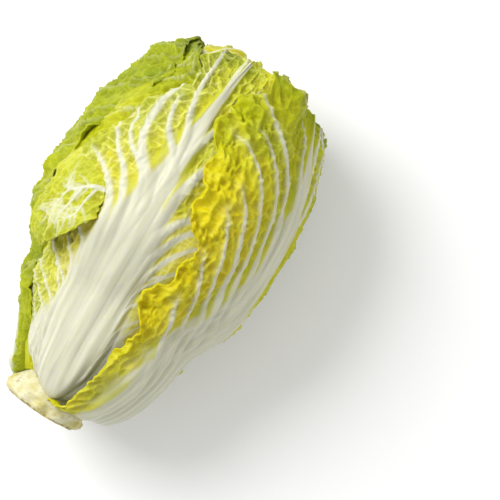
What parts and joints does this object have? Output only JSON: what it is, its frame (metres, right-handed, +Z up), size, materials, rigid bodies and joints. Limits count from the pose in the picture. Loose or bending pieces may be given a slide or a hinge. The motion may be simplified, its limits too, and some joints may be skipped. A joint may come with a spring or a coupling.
{
  "type": "napa cabbage",
  "caption": "Whole head of napa cabbage, trimmed and lying on its side, with broad white ribs, pale crinkled leaves wrapped round a heart, and a cut stem.",
  "frame": {"origin": "on the surface that the head lies on, under the middle of its bounding box", "axes": "+X along the head, from the cut stem to the leaf tips; +Z up; +Y to the left of someone who looks along +X"},
  "size_m": [0.2876, 0.1694, 0.1702],
  "materials": {
    "stem": null,
    "heart_leaf": "pale yellow young leaf, crinkled, moist and slightly translucent",
    "inner_leaf": "yellow-green leaf with a smooth white rib and white veins, moist, slightly translucent",
    "outer_leaf": "pale green crinkled leaf with a smooth white rib and white veins, moist, slightly translucent"
  },
  "bodies": {
    "root": {"stump": "stem", "heart": "heart_leaf", "leaf_inner_right": "inner_leaf", "leaf_inner_back": "inner_leaf", "leaf_inner_left": "inner_leaf", "leaf_far_right": "outer_leaf", "leaf_front": "outer_leaf", "leaf_left": "outer_leaf", "leaf_right": "outer_leaf", "leaf_under": "outer_leaf"}
  },
  "joints": []
}
